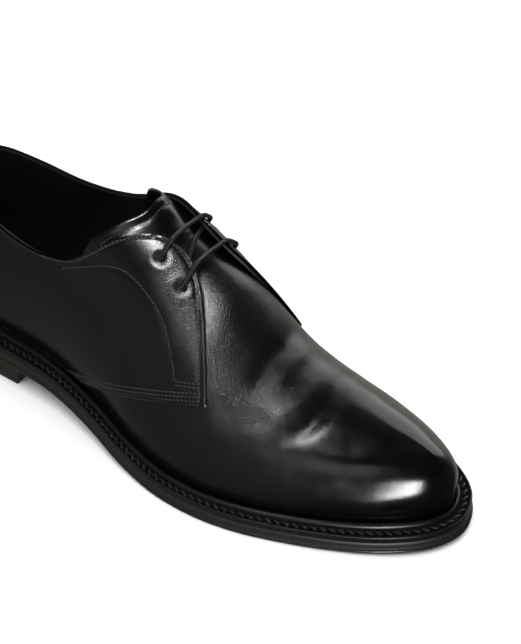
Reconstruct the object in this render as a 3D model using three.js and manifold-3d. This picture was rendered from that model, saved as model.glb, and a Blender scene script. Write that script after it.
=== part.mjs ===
// A plain black derby shoe for the right foot, in millimetres, standing on its sole.
// +X points to the toe, +Y to the inner side of the foot and +Z up. The shoe is drawn with
// the back of its heel at x = 0 and is centred over the floor at the end.
//
// Every curved piece follows one description of the last: the outline of the sole, the line
// along the top of the foot, and a profile that rises from the sole to that line. A place on
// the last is (loop, up): loop runs round the sole from the back of the heel, along the outer
// side to the toe and back along the inner side, and up runs from the sole, 0, to the top, 1.

import * as THREE from 'three';
import { mergeVertices } from 'three/addons/utils/BufferGeometryUtils.js';
import Module from 'manifold-3d';

const wasm = await Module();
wasm.setup();

// Main sizes.
const soleLength = 304;
const soleWidth = 106;
const instepHeight = 104;
const heelLift = 10.5;
const seatRise = 2;
const toeSpring = 2.5;

// Thicknesses.
const soleThickness = 6;
const weltThickness = 3;
const insoleThickness = 5;
const wall = 2;
const quarterThickness = 1.3;
const tongueThickness = 2;

// Welt, heel and sole edge.
const weltWidth = 8.6;
const sideInset = 1;
const lipHeight = 1.8;
const beadHeight = 2.2;
const beadWidth = 2.4;
const grooveDepth = 0.9;
const heelTaper = 2;
const breastSlant = 1.8;
const heelNotch = 10;
const lipWidth = 1.2;
const lipRound = 0.7;
const beadGap = 1;
const weltTuck = 0.6;

// Lace and eyelets.
const laceDiameter = 2.4;
const eyeletEase = 1.7;
const eyeletBore = laceDiameter + eyeletEase;

// Clearance between neighbouring pieces.
const gap = 0.3;

// The edge of the quarters stands past the lining by this share of a profile.
const edgeLip = 0.006;

// The quarters reach into the wall by this share of it, so that the two join as one body.
const panelRoot = 0.7;

// How finely the pieces are divided.
const soleColumns = 76;
const upperColumns = 76;
const upperRows = 11;
const quarterColumns = 48;
const quarterRows = 10;
const throatColumns = 14;
const throatRows = 12;
const tongueColumns = 11;
const tongueRows = 14;
const laceSteps = 100;

// The edge of the sole, seen from above. Along is a share of the sole's length, outer and
// inner are shares of its width, and welt is the share of the welt's width that shows there.
const outline = [
  { along: 0.000, outer: 0.000, inner: 0.000, weltOuter: 1.00, weltInner: 1.00 },
  { along: 0.008, outer: 0.121, inner: 0.118, weltOuter: 1.01, weltInner: 1.01 },
  { along: 0.033, outer: 0.236, inner: 0.220, weltOuter: 1.05, weltInner: 1.04 },
  { along: 0.082, outer: 0.311, inner: 0.288, weltOuter: 1.12, weltInner: 1.07 },
  { along: 0.164, outer: 0.342, inner: 0.312, weltOuter: 1.18, weltInner: 1.07 },
  { along: 0.263, outer: 0.347, inner: 0.292, weltOuter: 1.17, weltInner: 1.04 },
  { along: 0.345, outer: 0.360, inner: 0.274, weltOuter: 1.05, weltInner: 1.00 },
  { along: 0.428, outer: 0.406, inner: 0.284, weltOuter: 0.96, weltInner: 0.98 },
  { along: 0.510, outer: 0.472, inner: 0.336, weltOuter: 0.93, weltInner: 0.98 },
  { along: 0.586, outer: 0.511, inner: 0.399, weltOuter: 0.93, weltInner: 0.98 },
  { along: 0.658, outer: 0.513, inner: 0.455, weltOuter: 0.95, weltInner: 0.99 },
  { along: 0.724, outer: 0.480, inner: 0.482, weltOuter: 1.00, weltInner: 1.00 },
  { along: 0.789, outer: 0.417, inner: 0.469, weltOuter: 1.04, weltInner: 1.00 },
  { along: 0.855, outer: 0.336, inner: 0.428, weltOuter: 1.09, weltInner: 1.00 },
  { along: 0.914, outer: 0.244, inner: 0.365, weltOuter: 1.14, weltInner: 1.02 },
  { along: 0.961, outer: 0.140, inner: 0.285, weltOuter: 1.16, weltInner: 1.05 },
  { along: 0.988, outer: 0.042, inner: 0.196, weltOuter: 1.12, weltInner: 1.07 },
  { along: 1.000, outer: -0.073, inner: 0.073, weltOuter: 1.09, weltInner: 1.09 },
];

// The line along the top of the last. Behind the instep it closes the shape above the
// collar, where nothing is built. Height is a share of the instep, across of the width.
const ridge = [
  { along: 0.099, height: 1.231, across: 0.000 },
  { along: 0.197, height: 1.231, across: 0.009 },
  { along: 0.296, height: 1.207, across: 0.024 },
  { along: 0.395, height: 1.144, across: 0.042 },
  { along: 0.461, height: 1.077, across: 0.052 },
  { along: 0.516, height: 1.000, across: 0.057 },
  { along: 0.556, height: 0.923, across: 0.057 },
  { along: 0.609, height: 0.803, across: 0.050 },
  { along: 0.674, height: 0.618, across: 0.053 },
  { along: 0.740, height: 0.528, across: 0.064 },
  { along: 0.806, height: 0.475, across: 0.067 },
  { along: 0.862, height: 0.442, across: 0.065 },
  { along: 0.908, height: 0.411, across: 0.072 },
];
const ridgeBack = 0.099;
const ridgeFront = 0.908;

// How each profile rises: bulge is how far it leans out above the welt and round how far it
// runs level at the top, as shares of the width, and rise is a share of the instep.
const profiles = [
  { along: 0.00, bulgeOuter: 0.066, riseOuter: 0.346, roundOuter: 0.132,
    bulgeInner: 0.066, riseInner: 0.346, roundInner: 0.132 },
  { along: 0.10, bulgeOuter: 0.094, riseOuter: 0.385, roundOuter: 0.226,
    bulgeInner: 0.085, riseInner: 0.385, roundInner: 0.226 },
  { along: 0.30, bulgeOuter: 0.085, riseOuter: 0.404, roundOuter: 0.274,
    bulgeInner: 0.085, riseInner: 0.404, roundInner: 0.236 },
  { along: 0.45, bulgeOuter: 0.075, riseOuter: 0.365, roundOuter: 0.283,
    bulgeInner: 0.094, riseInner: 0.404, roundInner: 0.245 },
  { along: 0.55, bulgeOuter: 0.057, riseOuter: 0.308, roundOuter: 0.283,
    bulgeInner: 0.075, riseInner: 0.356, roundInner: 0.226 },
  { along: 0.65, bulgeOuter: 0.047, riseOuter: 0.240, roundOuter: 0.274,
    bulgeInner: 0.047, riseInner: 0.245, roundInner: 0.204 },
  { along: 0.75, bulgeOuter: 0.038, riseOuter: 0.208, roundOuter: 0.255,
    bulgeInner: 0.032, riseInner: 0.182, roundInner: 0.180 },
  { along: 0.85, bulgeOuter: 0.033, riseOuter: 0.175, roundOuter: 0.222,
    bulgeInner: 0.030, riseInner: 0.184, roundInner: 0.186 },
  { along: 0.93, bulgeOuter: 0.032, riseOuter: 0.158, roundOuter: 0.185,
    bulgeInner: 0.038, riseInner: 0.192, roundInner: 0.175 },
  { along: 1.00, bulgeOuter: 0.043, riseOuter: 0.176, roundOuter: 0.176,
    bulgeInner: 0.043, riseInner: 0.176, roundInner: 0.176 },
];

// The edge of the collar, from the back of the heel to the top corner of the facings.
const topline = [
  { along: 0.000, outer: 0.500, inner: 0.500 },
  { along: 0.067, outer: 0.495, inner: 0.485 },
  { along: 0.130, outer: 0.490, inner: 0.467 },
  { along: 0.200, outer: 0.478, inner: 0.461 },
  { along: 0.245, outer: 0.458, inner: 0.468 },
  { along: 0.290, outer: 0.454, inner: 0.487 },
  { along: 0.330, outer: 0.477, inner: 0.515 },
  { along: 0.360, outer: 0.513, inner: 0.548 },
  { along: 0.388, outer: 0.582, inner: 0.600 },
  { along: 0.430, outer: 0.724, inner: 0.720 },
  { along: 0.468, outer: 0.819, inner: 0.815 },
  { along: 0.498, outer: 0.862, inner: 0.860 },
];

// The front edge of the quarters, from the top corner of the facing down to the low corner.
const frontEdge = [
  { along: 0.498, up: 0.862 },
  { along: 0.508, up: 0.871 },
  { along: 0.523, up: 0.877 },
  { along: 0.538, up: 0.875 },
  { along: 0.553, up: 0.865 },
  { along: 0.565, up: 0.848 },
  { along: 0.578, up: 0.820 },
  { along: 0.590, up: 0.782 },
  { along: 0.605, up: 0.728 },
  { along: 0.621, up: 0.655 },
  { along: 0.637, up: 0.562 },
  { along: 0.649, up: 0.470 },
];

// The low edge of the quarters, from the back of the heel to that low corner.
const lowEdge = [
  { along: 0.000, up: 0.030 },
  { along: 0.340, up: 0.030 },
  { along: 0.392, up: 0.052 },
  { along: 0.438, up: 0.121 },
  { along: 0.488, up: 0.202 },
  { along: 0.551, up: 0.307 },
  { along: 0.605, up: 0.388 },
  { along: 0.649, up: 0.470 },
];

// The throat runs forward between the facings. It starts to round off at throatTurn.
const throatTurn = 0.572;
const throatEnd = 0.6;

// The back edge of the tongue, from the top of the foot down to each side.
const tongueBack = [
  { up: 0.500, along: 0.385 },
  { up: 0.600, along: 0.391 },
  { up: 0.690, along: 0.405 },
  { up: 0.770, along: 0.420 },
  { up: 0.864, along: 0.437 },
  { up: 0.930, along: 0.441 },
  { up: 1.000, along: 0.438 },
];
const tongueFront = 0.635;

// How far the tongue lies below the wall: close at both ends, and lower where the lace runs
// between them. Room is a share of the lace's diameter and its clearances.
const tongueRoom = [
  { along: 0.385, room: 0.35 },
  { along: 0.450, room: 0.50 },
  { along: 0.490, room: 1.12 },
  { along: 0.565, room: 1.12 },
  { along: 0.600, room: 0.50 },
  { along: 0.635, room: 0.18 },
];

const eyelets = [
  { along: 0.502, up: 0.779 },
  { along: 0.551, up: 0.759 },
];
const barEdge = 0.875;
const barCrown = 0.8;
const cornerHigh = topline[topline.length - 1];
const cornerLow = lowEdge[lowEdge.length - 1];

const colours = {
  leather: { color: 0x141414, roughness: 0.3, metalness: 0 },
  lining: { color: 0x1b1a19, roughness: 0.6, metalness: 0 },
  sock: { color: 0x191817, roughness: 0.65, metalness: 0 },
  welt: { color: 0x1d1d1c, roughness: 0.5, metalness: 0 },
  sole: { color: 0x232322, roughness: 0.45, metalness: 0 },
  heel: { color: 0x222121, roughness: 0.45, metalness: 0 },
  lace: { color: 0x1a1a1a, roughness: 0.7, metalness: 0 },
};

// The loop has twice as many steps as the outline has intervals.
const toe = outline.length - 1;
const loopEnd = 2 * toe;
const inwards = outline.slice(1, toe).reverse();
const ringAlong = [...outline, ...inwards].map((row) => row.along * soleLength);
const ringAcross = [
  ...outline.slice(0, toe).map((row) => -row.outer * soleWidth),
  outline[toe].inner * soleWidth,
  ...inwards.map((row) => row.inner * soleWidth),
];
const ringWelt = [
  ...outline.map((row) => row.weltOuter * weltWidth),
  ...inwards.map((row) => row.weltInner * weltWidth),
];

// A smooth closed curve through a ring of values that are one step apart.
function ring(values, at) {
  const count = values.length;
  const start = Math.floor(at);
  const t = at - start;
  const [a, b, c, d] = [-1, 0, 1, 2].map((k) => values[(start + k + 2 * count) % count]);
  return b + 0.5 * t * (c - a + t * (2 * a - 5 * b + 4 * c - d + t * (3 * (b - c) + d - a)));
}

// A smooth curve through one column of a table, read at a value of another column.
function column(table, name, at, by = 'along') {
  const last = table.length - 1;
  const x = THREE.MathUtils.clamp(at, table[0][by], table[last][by]);
  let k = 0;
  while (k < last - 1 && x > table[k + 1][by]) k += 1;
  const slope = (i) => {
    const before = table[Math.max(i - 1, 0)];
    const after = table[Math.min(i + 1, last)];
    return (after[name] - before[name]) / (after[by] - before[by]);
  };
  const width = table[k + 1][by] - table[k][by];
  const t = (x - table[k][by]) / width;
  return (1 + 2 * t) * (1 - t) ** 2 * table[k][name] + t * (1 - t) ** 2 * width * slope(k)
    + t * t * (3 - 2 * t) * table[k + 1][name] + t * t * (t - 1) * width * slope(k + 1);
}

// Height of the bottom of the sole above the floor: the heel holds it up at the back, it
// comes down through the arch, lies flat under the ball and lifts a little at the toe.
const breast = 0.263 * soleLength;
const flatStart = 0.61 * soleLength;
const flatEnd = 0.72 * soleLength;
function lift(x) {
  const arch = THREE.MathUtils.smoothstep(x, breast, flatStart);
  const seat = seatRise * Math.max(0, 1 - x / breast);
  const spring = Math.max(0, (x - flatEnd) / (soleLength - flatEnd)) ** 2;
  return heelLift * (1 - arch) + seat + toeSpring * spring;
}

// A point of the sole's edge, moved in by inset, with its outward direction.
function edge(loop, inset = 0) {
  const step = 1e-3;
  const dx = ring(ringAlong, loop + step) - ring(ringAlong, loop - step);
  const dy = ring(ringAcross, loop + step) - ring(ringAcross, loop - step);
  const out = new THREE.Vector2(dy, -dx).normalize();
  const x = ring(ringAlong, loop) - out.x * inset;
  const y = ring(ringAcross, loop) - out.y * inset;
  return { x, y, out };
}

const weltTop = soleThickness + gap + weltThickness;
const feather = weltTop + gap;

// The point on top of the last that the profile at this share of the length runs to.
function ridgeAt(along) {
  const share = ridgeBack + (ridgeFront - ridgeBack) * along;
  const step = 0.0016;
  const low = Math.max(share - step, ridgeBack);
  const high = Math.min(share + step, ridgeFront);
  const run = (high - low) * soleLength;
  const rise = (column(ridge, 'height', high) - column(ridge, 'height', low)) * instepHeight;
  const drift = (column(ridge, 'across', high) - column(ridge, 'across', low)) * soleWidth;
  const point = new THREE.Vector3(
    share * soleLength,
    column(ridge, 'across', share) * soleWidth,
    column(ridge, 'height', share) * instepHeight,
  );
  return { point, rise: rise / run, drift: drift / run };
}

// A point of the last, at (loop, up).
function lastPoint(loop, up) {
  const at = ((loop % loopEnd) + loopEnd) % loopEnd;
  const side = at > toe ? 'Inner' : 'Outer';
  const along = ring(ringAlong, at > toe ? loopEnd - at : at) / soleLength;
  const foot = edge(at, ring(ringWelt, at));
  const top = ridgeAt(along);
  const bulge = column(profiles, 'bulge' + side, along) * soleWidth;
  const rise = column(profiles, 'rise' + side, along) * instepHeight;
  const round = column(profiles, 'round' + side, along) * soleWidth;
  const start = new THREE.Vector3(foot.x, foot.y, lift(foot.x) + feather);
  const lean = start.clone();
  lean.x += foot.out.x * bulge;
  lean.y += foot.out.y * bulge;
  lean.z += rise;
  const level = new THREE.Vector2(foot.x - top.point.x, foot.y - top.point.y).normalize();
  const forward = (level.x + level.y * top.drift) / (1 + top.drift ** 2);
  const shoulder = top.point.clone();
  shoulder.x += level.x * round;
  shoulder.y += level.y * round;
  shoulder.z += forward * top.rise * round;
  return new THREE.CubicBezierCurve3(start, lean, shoulder, top.point).getPoint(up);
}

// The outward direction of the last at (loop, up).
function lastNormal(loop, up) {
  if (up > 0.995) {
    const at = ((loop % loopEnd) + loopEnd) % loopEnd;
    const top = ridgeAt(ring(ringAlong, at > toe ? loopEnd - at : at) / soleLength);
    const forward = new THREE.Vector3(1, top.drift, top.rise);
    return forward.cross(new THREE.Vector3(-top.drift, 1, 0)).normalize();
  }
  const step = 0.02;
  const low = Math.max(up - step, 0);
  const high = Math.min(up + step, 1);
  const round = lastPoint(loop + step, up).sub(lastPoint(loop - step, up));
  const rise = lastPoint(loop, high).sub(lastPoint(loop, low));
  return round.cross(rise).normalize();
}

// A point that lies offset outside the last.
function skin(loop, up, offset) {
  return lastPoint(loop, up).addScaledVector(lastNormal(loop, up), offset);
}

// The loop value of a share of the sole's length, on the outer or the inner side.
function loopAt(along, inner) {
  let low = 0;
  let high = toe;
  for (let k = 0; k < 40; k += 1) {
    const middle = (low + high) / 2;
    if (ring(ringAlong, middle) < along * soleLength) low = middle;
    else high = middle;
  }
  return inner ? loopEnd - low : low;
}

function place(side, along, up, offset) {
  return skin(loopAt(along, side === 'inner'), up, offset);
}

// A closed geometry from a list of triangles, each of three points.
function fromTriangles(triangles) {
  const kept = triangles.filter(([a, b, c]) => {
    const area = b.clone().sub(a).cross(c.clone().sub(a)).length();
    return area > 1e-7;
  });
  const geometry = new THREE.BufferGeometry();
  const values = kept.flat().flatMap((point) => [point.x, point.y, point.z]);
  geometry.setAttribute('position', new THREE.Float32BufferAttribute(values, 3));
  return mergeVertices(geometry, 1e-4);
}

// A sheet with two skins. point(i, j, outside) gives its corners, i runs round or along it
// and j across it, and closed(i) says where its last row is already joined to itself.
function sheet(columns, rows, point, { wraps = false, closed = () => false } = {}) {
  const triangles = [];
  const grid = [false, true].map((outside) => {
    const lines = [];
    for (let i = 0; i <= columns; i += 1) {
      const from = wraps && i === columns ? 0 : i;
      lines.push(Array.from({ length: rows + 1 }, (_, j) => point(from, j, outside)));
    }
    return lines;
  });
  const quad = (a, b, c, d) => triangles.push([a, b, c], [a, c, d]);
  const [inside, outside] = grid;
  for (let i = 0; i < columns; i += 1) {
    for (let j = 0; j < rows; j += 1) {
      quad(outside[i][j], outside[i + 1][j], outside[i + 1][j + 1], outside[i][j + 1]);
      quad(inside[i][j], inside[i][j + 1], inside[i + 1][j + 1], inside[i + 1][j]);
    }
    quad(inside[i][0], inside[i + 1][0], outside[i + 1][0], outside[i][0]);
    const next = wraps ? (i + 1) % columns : i + 1;
    if (!(closed(i) && closed(next))) {
      quad(outside[i][rows], outside[i + 1][rows], inside[i + 1][rows], inside[i][rows]);
    }
  }
  if (!wraps) {
    for (let j = 0; j < rows; j += 1) {
      quad(outside[0][j], outside[0][j + 1], inside[0][j + 1], inside[0][j]);
      quad(inside[columns][j], inside[columns][j + 1], outside[columns][j + 1],
        outside[columns][j]);
    }
  }
  return fromTriangles(triangles);
}

// A plate with the sole's outline, built up from rings of { inset, height }, lowest first.
// Heights are counted from the bottom of the sole, or from the floor where a layer says so.
function plate(count, layers) {
  const triangles = [];
  const rings = layers.map(({ inset, height, floor }) => {
    const line = [];
    for (let i = 0; i < count; i += 1) {
      const loop = (i * loopEnd) / count;
      const { x, y } = edge(loop, typeof inset === 'function' ? inset(loop) : inset);
      line.push(new THREE.Vector3(x, y, (floor ?? lift(x)) + height));
    }
    return line;
  });
  for (let k = 0; k + 1 < rings.length; k += 1) {
    for (let i = 0; i < count; i += 1) {
      const [a, b] = [rings[k][i], rings[k][(i + 1) % count]];
      const [d, c] = [rings[k + 1][i], rings[k + 1][(i + 1) % count]];
      triangles.push([a, b, c], [a, c, d]);
    }
  }
  const half = count / 2;
  const across = (line, up) => {
    for (let i = 0; i < half; i += 1) {
      const [a, b] = [line[i], line[i + 1]];
      const [d, c] = [line[(count - i) % count], line[count - i - 1]];
      const pair = [[a, b, c], [a, c, d]];
      triangles.push(...(up ? pair : pair.map(([p, q, r]) => [p, r, q])));
    }
  };
  across(rings[0], false);
  across(rings[rings.length - 1], true);
  return fromTriangles(triangles);
}

// A ring with one cross-section, carried round the sole: { inset, height } anticlockwise.
function band(count, section) {
  const triangles = [];
  const lines = [];
  for (let i = 0; i < count; i += 1) {
    const loop = (i * loopEnd) / count;
    lines.push(section(loop).map(({ inset, height }) => {
      const { x, y } = edge(loop, inset);
      return new THREE.Vector3(x, y, lift(x) + height);
    }));
  }
  for (let i = 0; i < count; i += 1) {
    const [here, next] = [lines[i], lines[(i + 1) % count]];
    for (let k = 0; k < here.length; k += 1) {
      const m = (k + 1) % here.length;
      triangles.push([here[k], next[k], next[m]], [here[k], next[m], here[m]]);
    }
  }
  return fromTriangles(triangles);
}

function toSolid(geometry) {
  const bare = geometry.clone();
  bare.deleteAttribute('normal');
  bare.deleteAttribute('uv');
  const merged = mergeVertices(bare, 1e-4);
  return new wasm.Manifold(new wasm.Mesh({
    numProp: 3,
    vertProperties: new Float32Array(merged.attributes.position.array),
    triVerts: new Uint32Array(merged.index.array),
  }));
}

function toGeometry(solid) {
  const { vertProperties, triVerts } = solid.getMesh();
  const geometry = new THREE.BufferGeometry();
  geometry.setAttribute('position', new THREE.BufferAttribute(vertProperties, 3));
  geometry.setIndex(new THREE.BufferAttribute(triVerts, 1));
  return geometry;
}

// The wall of the upper: the vamp, and the lining behind the quarters, in one hollow shell.
// It ends at the collar, and is closed over the foot in front of that.
function makeWall() {
  const topOf = (i) => {
    const loop = (i * loopEnd) / upperColumns;
    const inner = loop > toe;
    const along = ring(ringAlong, inner ? loopEnd - loop : loop) / soleLength;
    return along < cornerHigh.along ? column(topline, inner ? 'inner' : 'outer', along) : 1;
  };
  const point = (i, j, outside) => {
    const loop = (i * loopEnd) / upperColumns;
    return skin(loop, (topOf(i) * j) / upperRows, outside ? 0 : -wall);
  };
  return sheet(upperColumns, upperRows, point, { wraps: true, closed: (i) => topOf(i) >= 1 });
}

// What the throat takes out of the wall: the strip between the facings, rounded in front.
function makeThroat() {
  const start = topline[topline.length - 4].along;
  const depth = 3 * wall;
  const point = (i, j, outside) => {
    const along = start + (throatEnd - start) * Math.sin((i / throatColumns) * (Math.PI / 2));
    const across = (2 * j) / throatRows - 1;
    const side = across < 0 ? 'outer' : 'inner';
    const edgeUp = (along < cornerHigh.along
      ? column(topline, side, along) : column(frontEdge, 'up', along)) - edgeLip / 2;
    const turn = THREE.MathUtils.clamp((along - throatTurn) / (throatEnd - throatTurn), 0, 1);
    const up = 1 - Math.abs(across) * (1 - edgeUp) * Math.sqrt(1 - turn * turn);
    return place(side, along, up, outside ? depth : -depth);
  };
  return sheet(throatColumns, throatRows, point);
}

// The front edge of the quarters, from its low corner (q = 0) to its high corner (q = 1).
function frontOf(q) {
  const steps = frontEdge.map((row, k) => ({ ...row, step: 1 - k / (frontEdge.length - 1) }));
  steps.reverse();
  return {
    along: column(steps, 'along', q, 'step'),
    up: column(steps, 'up', q, 'step') + edgeLip * q,
  };
}

// One point of a quarter, from the heel (s = 0) to its front edge (s = 1) and from its low
// edge (q = 0) to the collar (q = 1), blended from its four edges. Its steps are even round
// the last, which keeps the heel round.
function quarterPlace(s, q, side) {
  const reach = (corner, t) => ring(ringAlong, t * loopAt(corner.along, false)) / soleLength;
  const low = (t) => {
    const along = reach(cornerLow, t);
    return { along, up: column(lowEdge, 'up', along) };
  };
  const high = (t) => {
    const along = reach(cornerHigh, t);
    return { along, up: column(topline, side, along) + edgeLip };
  };
  const front = frontOf(q);
  const blend = (name, back) => {
    const between = (1 - q) * low(s)[name] + q * high(s)[name] + (1 - s) * back + s * front[name];
    const corners = (1 - s) * ((1 - q) * low(0)[name] + q * high(0)[name])
      + s * ((1 - q) * frontOf(0)[name] + q * frontOf(1)[name]);
    return between - corners;
  };
  return {
    along: Math.max(0, blend('along', 0)),
    up: blend('up', low(0).up + q * (high(0).up - low(0).up)),
  };
}

// Both quarters, laid over the wall as one raised panel that runs round the heel.
function makeQuarters() {
  const point = (i, j, outside) => {
    const t = (2 * i) / quarterColumns - 1;
    const side = t < 0 ? 'inner' : 'outer';
    const { along, up } = quarterPlace(Math.abs(t), j / quarterRows, side);
    return place(side, along, up, outside ? quarterThickness : -panelRoot * wall);
  };
  return sheet(quarterColumns, quarterRows, point);
}

// A bore through the upper, square to its surface.
function makeBore(side, { along, up }) {
  const centre = place(side, along, up, 0);
  const direction = lastNormal(loopAt(along, side === 'inner'), up);
  const bore = new THREE.CylinderGeometry(eyeletBore / 2, eyeletBore / 2, 4 * eyeletBore, 12);
  const turn = new THREE.Quaternion().setFromUnitVectors(new THREE.Vector3(0, 1, 0), direction);
  return bore.applyQuaternion(turn).translate(centre.x, centre.y, centre.z);
}

function makeUpper() {
  let upper = toSolid(makeWall()).subtract(toSolid(makeThroat()));
  upper = upper.add(toSolid(makeQuarters()));
  for (const side of ['outer', 'inner']) {
    for (const eyelet of eyelets) upper = upper.subtract(toSolid(makeBore(side, eyelet)));
  }
  return toGeometry(upper);
}

// The tongue lies under the facings and runs over the top of the foot from side to side.
function makeTongue() {
  const laceRoom = laceDiameter + 2 * gap;
  const point = (i, j, outside) => {
    const across = (2 * j) / tongueRows - 1;
    const up = 1 - Math.abs(across) * (1 - tongueBack[0].up);
    const back = column(tongueBack, 'along', up, 'up');
    const along = back + ((tongueFront - back) * i) / tongueColumns;
    const depth = wall + gap + column(tongueRoom, 'room', along) * laceRoom;
    const side = across < 0 ? 'outer' : 'inner';
    return place(side, along, up, outside ? -depth : -depth - tongueThickness);
  };
  return sheet(tongueColumns, tongueRows, point);
}

function makeInsole() {
  const inset = (loop) => ring(ringWelt, loop) + wall + weltTuck + gap;
  return plate(soleColumns, [
    { inset, height: soleThickness + gap },
    { inset, height: soleThickness + gap + insoleThickness },
  ]);
}

// The welt runs all round: an outer lip, a groove for its stitching, and a bead that stands
// against the upper. It passes under the wall of the upper by weltTuck.
function makeWelt() {
  const low = soleThickness + gap;
  const section = (loop) => {
    const upperInset = ring(ringWelt, loop);
    const bead = upperInset - beadGap;
    return [
      { inset: sideInset, height: low },
      { inset: sideInset, height: weltTop },
      { inset: sideInset + lipWidth, height: weltTop },
      { inset: sideInset + lipWidth + grooveDepth / 2, height: weltTop - grooveDepth },
      { inset: bead - beadWidth, height: weltTop - grooveDepth },
      { inset: bead - 0.75 * beadWidth, height: weltTop + 0.8 * beadHeight },
      { inset: bead - 0.4 * beadWidth, height: weltTop + beadHeight },
      { inset: bead, height: weltTop + 0.5 * beadHeight },
      { inset: bead, height: weltTop },
      { inset: upperInset + wall + weltTuck, height: weltTop },
      { inset: upperInset + wall + weltTuck, height: low },
    ];
  };
  return band(soleColumns, section);
}

// The outsole has a thin lip along the foot of its side, and leans in above it.
function makeOutsole() {
  return plate(soleColumns, [
    { inset: lipRound, height: 0 },
    { inset: 0, height: lipRound },
    { inset: 0, height: lipHeight },
    { inset: 0.7 * sideInset, height: lipHeight + 0.5 * sideInset },
    { inset: sideInset, height: soleThickness },
  ]);
}

// The heel block narrows towards the floor. Its front slants, and the inner corner is cut.
function makeHeel() {
  const block = plate(soleColumns, [
    { inset: sideInset + heelTaper, height: 0, floor: 0 },
    { inset: sideInset, height: -gap },
  ]);
  const tall = 2 * (heelLift + seatRise);
  const sideView = new THREE.Shape([
    new THREE.Vector2(-soleLength / 4, -tall),
    new THREE.Vector2(breast - breastSlant * 2, -tall),
    new THREE.Vector2(breast - breastSlant, 0),
    new THREE.Vector2(breast, heelLift),
    new THREE.Vector2(breast, tall),
    new THREE.Vector2(-soleLength / 4, tall),
  ]);
  const keep = new THREE.ExtrudeGeometry(sideView, { depth: 2 * soleWidth, bevelEnabled: false });
  keep.rotateX(Math.PI / 2).translate(0, soleWidth, 0);
  const innerEdge = edge(loopAt(breast / soleLength, true)).y;
  const corner = new THREE.Shape([
    new THREE.Vector2(breast - heelNotch, innerEdge),
    new THREE.Vector2(breast, innerEdge - heelNotch),
    new THREE.Vector2(breast + heelNotch, innerEdge - heelNotch),
    new THREE.Vector2(breast + heelNotch, innerEdge + heelNotch),
    new THREE.Vector2(breast - heelNotch, innerEdge + heelNotch),
  ]);
  const notch = new THREE.ExtrudeGeometry(corner, { depth: 2 * tall, bevelEnabled: false });
  notch.translate(0, 0, -tall);
  return toGeometry(toSolid(block).intersect(toSolid(keep)).subtract(toSolid(notch)));
}

// The lace: straight across the two pairs of eyelets, with one strand that crosses below.
// Its ends stop just under the first and the last eyelet. Height is above the last.
function makeLace() {
  const [high, low] = eyelets;
  const under = -wall - 2 * gap - laceDiameter / 2;
  const over = quarterThickness + gap + laceDiameter / 2;
  const stand = (side, eyelet) => [
    place(side, eyelet.along, eyelet.up, under),
    place(side, eyelet.along, eyelet.up, 0),
    place(side, eyelet.along, eyelet.up + 0.006, over + 0.15 * laceDiameter),
    place(side, eyelet.along, eyelet.up + 0.045, over + 0.15 * laceDiameter),
    place(side, eyelet.along, barEdge, over + 0.1 * laceDiameter),
  ];
  const bar = (from, to, eyelet) => {
    const rising = stand(from, eyelet);
    const falling = stand(to, eyelet).reverse();
    const crest = [1 / 3, 2 / 3].map((t) => rising[4].clone().lerp(falling[0], t));
    crest.forEach((point) => { point.z += barCrown; });
    return [...rising, ...crest, ...falling];
  };
  const crossing = [0.2, 0.4, 0.6, 0.8].map((t) => {
    const along = low.along + t * (high.along - low.along);
    const side = t < 0.5 ? 'outer' : 'inner';
    const up = 1 - Math.abs(2 * t - 1) * (1 - low.up);
    return place(side, along, up, under);
  });
  const path = new THREE.CatmullRomCurve3([
    ...bar('inner', 'outer', low),
    ...crossing,
    ...bar('inner', 'outer', high),
  ]);
  const round = new THREE.Shape();
  round.absarc(0, 0, laceDiameter / 2, 0, 2 * Math.PI);
  return new THREE.ExtrudeGeometry(round, {
    steps: laceSteps,
    curveSegments: 4,
    bevelEnabled: false,
    extrudePath: path,
  });
}

const pieces = [
  { name: 'upper', make: makeUpper, finish: colours.leather },
  { name: 'tongue', make: makeTongue, finish: colours.leather },
  { name: 'insole', make: makeInsole, finish: colours.sock },
  { name: 'welt', make: makeWelt, finish: colours.welt },
  { name: 'outsole', make: makeOutsole, finish: colours.sole },
  { name: 'heel', make: makeHeel, finish: colours.heel },
  { name: 'laces', make: makeLace, finish: colours.lace },
];

const shoe = new THREE.Group();
for (const { name, make, finish } of pieces) {
  const mesh = new THREE.Mesh(make(), new THREE.MeshStandardMaterial(finish));
  mesh.name = name;
  shoe.add(mesh);
}
const bounds = new THREE.Box3().setFromObject(shoe);
const middle = bounds.getCenter(new THREE.Vector3());
shoe.position.set(-middle.x, -middle.y, -bounds.min.z);

export default shoe;
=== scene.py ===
"""A black derby shoe for the right foot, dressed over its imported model, in metres.

The shapes are worked out in millimetres on the shoe's last, as a shoemaker would: the outline
of the sole, the line along the top of the foot, and a profile that rises from one to the
other. A place on the last is (loop, up). Loop runs round the sole from the back of the heel,
along the outer side to the toe and back along the inner side, and up runs from the sole, 0,
to the top of the foot, 1. Along is a share of the sole's length.
"""
import math

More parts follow.
